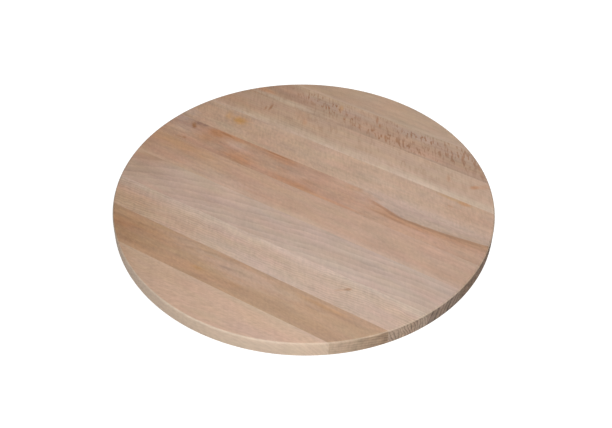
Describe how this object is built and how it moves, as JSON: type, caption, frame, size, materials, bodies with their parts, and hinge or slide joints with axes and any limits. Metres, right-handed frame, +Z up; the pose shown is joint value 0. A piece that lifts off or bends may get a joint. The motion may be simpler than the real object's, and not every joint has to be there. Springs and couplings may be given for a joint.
{
  "type": "round cutting board",
  "caption": "Flat round kitchen board of solid beech, edge-glued from parallel staves and turned to a disc with eased arrises, for cutting and serving.",
  "frame": {"origin": "centre of the underside, on the surface that the board lies on", "axes": "+X along the grain of the staves, +Y across the staves from the front to the back, +Z up out of the cutting surface"},
  "size_m": [0.35, 0.35, 0.016],
  "materials": {
    "beech_1": "sanded smooth, pale straw",
    "beech_2": "sanded smooth, honey tan",
    "beech_3": "sanded smooth, pale with fine growth lines",
    "beech_4": "sanded smooth, pinkish grey",
    "beech_5": "sanded smooth, warm pink",
    "beech_6": "sanded smooth, reddish with brown streaks",
    "beech_7": "sanded smooth, plain pale brown",
    "beech_8": "sanded smooth, pale with small flecks",
    "beech_9": "sanded smooth, quarter-sawn with ray flecks",
    "beech_10": "sanded smooth, plain light brown",
    "glue": "cured wood glue, sanded flush"
  },
  "bodies": {
    "root": {"stave_1": "beech_1", "stave_2": "beech_2", "stave_3": "beech_3", "stave_4": "beech_4", "stave_5": "beech_5", "stave_6": "beech_6", "stave_7": "beech_7", "stave_8": "beech_8", "stave_9": "beech_9", "stave_10": "beech_10", "glue_line_1": "glue", "glue_line_2": "glue", "glue_line_3": "glue", "glue_line_4": "glue", "glue_line_5": "glue", "glue_line_6": "glue", "glue_line_7": "glue", "glue_line_8": "glue", "glue_line_9": "glue"}
  },
  "joints": []
}
